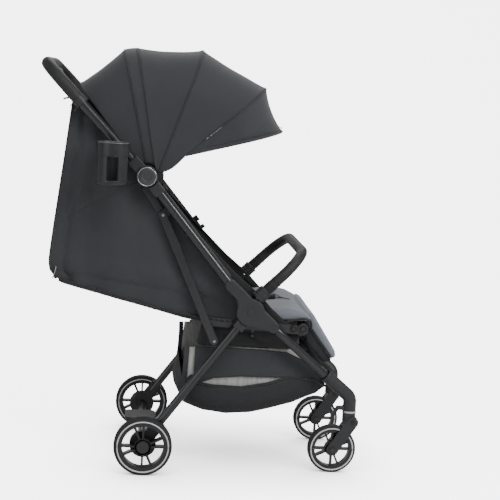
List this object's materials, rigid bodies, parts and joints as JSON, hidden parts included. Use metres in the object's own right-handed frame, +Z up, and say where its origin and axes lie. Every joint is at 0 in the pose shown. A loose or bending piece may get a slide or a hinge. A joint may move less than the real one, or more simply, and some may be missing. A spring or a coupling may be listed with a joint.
{
  "type": "baby stroller",
  "caption": "Folding baby stroller with reclining seat, adjustable leg rest, retractable canopy, bumper bar, cup holder, basket and swivelling front wheels.",
  "frame": {"origin": "on the ground, on the centre plane, straight under the rear axle", "axes": "+X forward, +Y to the rider's left, +Z up"},
  "size_m": [0.8373, 0.5583, 1.0516],
  "materials": {
    "satin_tube": "satin black powder coat",
    "moulding": "fine-grained matte charcoal moulding",
    "hub_cap": null,
    "cup": "satin dark grey",
    "ring": "polished",
    "steel": "plain zinc finish",
    "grip": "fine-grained black leatherette",
    "rim": "black spoked rim with a thin silver line",
    "tyre": "foam tyre with a shallow tread",
    "black_cloth": "charcoal plain weave",
    "basket_mesh": "dark mesh",
    "slate_cloth": "slate grey padded weave",
    "webbing": "black webbing"
  },
  "bodies": {
    "root": {"side_tubes": "satin_tube", "front_leg_tubes": "satin_tube", "junctions": "moulding", "leg_ends": "moulding", "swivel_rings": "ring", "hub_inners": "moulding", "seat_frame": "satin_tube", "seat_base": "black_cloth", "seat_cushion": "slate_cloth", "bumper_sockets": "moulding", "basket_tub": "basket_mesh", "basket_sides": "black_cloth", "seat_sides": "black_cloth", "back_curtain": "black_cloth", "harness_buckle": "moulding", "storage_catch": "moulding", "frame_rivets": "steel", "stay_bars": "satin_tube", "canopy_bow_rear": "satin_tube", "canopy_panel_rear": "black_cloth"},
    "handle": {"handle_tube": "satin_tube", "handle_grip": "grip", "handle_collars": "moulding", "hub_outers": "moulding", "hub_caps": "hub_cap", "cup_holder": "cup", "cup_clamp": "moulding", "trigger_guide": "moulding"},
    "trigger": {"fold_trigger": "moulding"},
    "rear_legs": {"rear_leg_tubes": "satin_tube", "rear_leg_arms": "moulding", "rear_cross_tube": "satin_tube", "rear_cross_brackets": "moulding", "rear_wheel_housings": "moulding", "rear_axle_tube": "satin_tube", "rear_axle_pins": "steel"},
    "brake": {"brake_pedal": "moulding"},
    "rear_wheel_left": {"rear_left_tyre": "tyre", "rear_left_rim": "rim"},
    "rear_wheel_right": {"rear_right_tyre": "tyre", "rear_right_rim": "rim"},
    "caster_left": {"front_left_fork": "moulding"},
    "caster_right": {"front_right_fork": "moulding"},
    "front_wheel_left": {"front_left_tyre": "tyre", "front_left_rim": "rim"},
    "front_wheel_right": {"front_right_tyre": "tyre", "front_right_rim": "rim"},
    "swivel_lock_left": {"front_left_swivel_lock": "moulding"},
    "swivel_lock_right": {"front_right_swivel_lock": "moulding"},
    "legrest": {"legrest_frame": "satin_tube", "legrest_pad": "slate_cloth"},
    "bumper": {"bumper_bar": "grip"},
    "backrest": {"backrest": "black_cloth", "shoulder_straps": "webbing"},
    "canopy_middle": {"canopy_bow_middle": "satin_tube", "canopy_panel_middle": "black_cloth"},
    "canopy_front": {"canopy_bow_front": "satin_tube", "canopy_panel_front": "black_cloth"},
    "canopy_visor": {"canopy_bow_visor": "satin_tube", "canopy_panel_visor": "black_cloth"}
  },
  "joints": [
    {"name": "handle_fold", "type": "hinge", "parent": "root", "child": "handle", "pos_m": [-0.022, 0, 0.741], "axis": [0, 1, 0], "range_deg": [-85, 0], "deforming": ["seat_sides", "canopy_panel_rear"]},
    {"name": "rear_leg_fold", "type": "hinge", "parent": "root", "child": "rear_legs", "pos_m": [0.25, 0, 0.417], "axis": [0, 1, 0], "range_deg": [-39, 0], "deforming": ["basket_sides"]},
    {"name": "fold_trigger_pull", "type": "slide", "parent": "handle", "child": "trigger", "axis": [-0.699, 0, 0.7151], "range_m": [0, 0.005], "stiffness_N_per_m": 400, "springref_m": -0.002},
    {"name": "brake_rock", "type": "hinge", "parent": "rear_legs", "child": "brake", "pos_m": [0, 0, 0.0725], "axis": [0, 1, 0], "range_deg": [-12, 12]},
    {"name": "legrest_tilt", "type": "hinge", "parent": "root", "child": "legrest", "pos_m": [0.387, 0, 0.372], "axis": [0, -1, 0], "range_deg": [0, 55]},
    {"name": "bumper_release", "type": "slide", "parent": "root", "child": "bumper", "axis": [0.7071, 0, 0.7071], "range_m": [0, 0.022]},
    {"name": "backrest_recline", "type": "hinge", "parent": "root", "child": "backrest", "pos_m": [0.15, 0, 0.385], "axis": [0, 1, 0], "range_deg": [0, 45], "deforming": ["back_curtain"]},
    {"name": "canopy_middle_fold", "type": "hinge", "parent": "root", "child": "canopy_middle", "pos_m": [-0.022, 0, 0.741], "axis": [0, 1, 0], "range_deg": [-24, 0], "deforming": ["canopy_panel_middle"]},
    {"name": "canopy_front_fold", "type": "hinge", "parent": "canopy_middle", "child": "canopy_front", "pos_m": [-0.022, 0, 0.741], "axis": [0, 1, 0], "range_deg": [-24, 0], "deforming": ["canopy_panel_front"]},
    {"name": "canopy_visor_fold", "type": "hinge", "parent": "canopy_front", "child": "canopy_visor", "pos_m": [-0.022, 0, 0.741], "axis": [0, 1, 0], "range_deg": [-13.5, 0], "deforming": ["canopy_panel_visor"]},
    {"name": "caster_left_swivel", "type": "hinge", "parent": "root", "child": "caster_left", "pos_m": [0.5247, 0.155, 0.15], "axis": [0, 0, 1], "continuous": true},
    {"name": "front_left_wheel_spin", "type": "hinge", "parent": "caster_left", "child": "front_wheel_left", "pos_m": [0.4847, 0.155, 0.0615], "axis": [0, 1, 0], "continuous": true},
    {"name": "rear_left_wheel_spin", "type": "hinge", "parent": "rear_legs", "child": "rear_wheel_left", "pos_m": [0, 0.2333, 0.0725], "axis": [0, 1, 0], "continuous": true},
    {"name": "swivel_lock_left_lift", "type": "hinge", "parent": "root", "child": "swivel_lock_left", "pos_m": [0.494, 0.155, 0.1685], "axis": [0, 1, 0], "range_deg": [0, 30]},
    {"name": "caster_right_swivel", "type": "hinge", "parent": "root", "child": "caster_right", "pos_m": [0.5247, -0.155, 0.15], "axis": [0, 0, 1], "continuous": true},
    {"name": "front_right_wheel_spin", "type": "hinge", "parent": "caster_right", "child": "front_wheel_right", "pos_m": [0.4847, -0.155, 0.0615], "axis": [0, 1, 0], "continuous": true},
    {"name": "rear_right_wheel_spin", "type": "hinge", "parent": "rear_legs", "child": "rear_wheel_right", "pos_m": [0, -0.2333, 0.0725], "axis": [0, 1, 0], "continuous": true},
    {"name": "swivel_lock_right_lift", "type": "hinge", "parent": "root", "child": "swivel_lock_right", "pos_m": [0.494, -0.155, 0.1685], "axis": [0, 1, 0], "range_deg": [0, 30]}
  ],
  "couplings": [
    {"joint": "rear_leg_fold", "follows": "handle_fold", "ratio": 0.45},
    {"joint": "canopy_front_fold", "follows": "canopy_middle_fold", "ratio": 1},
    {"joint": "canopy_visor_fold", "follows": "canopy_middle_fold", "ratio": 0.55}
  ]
}
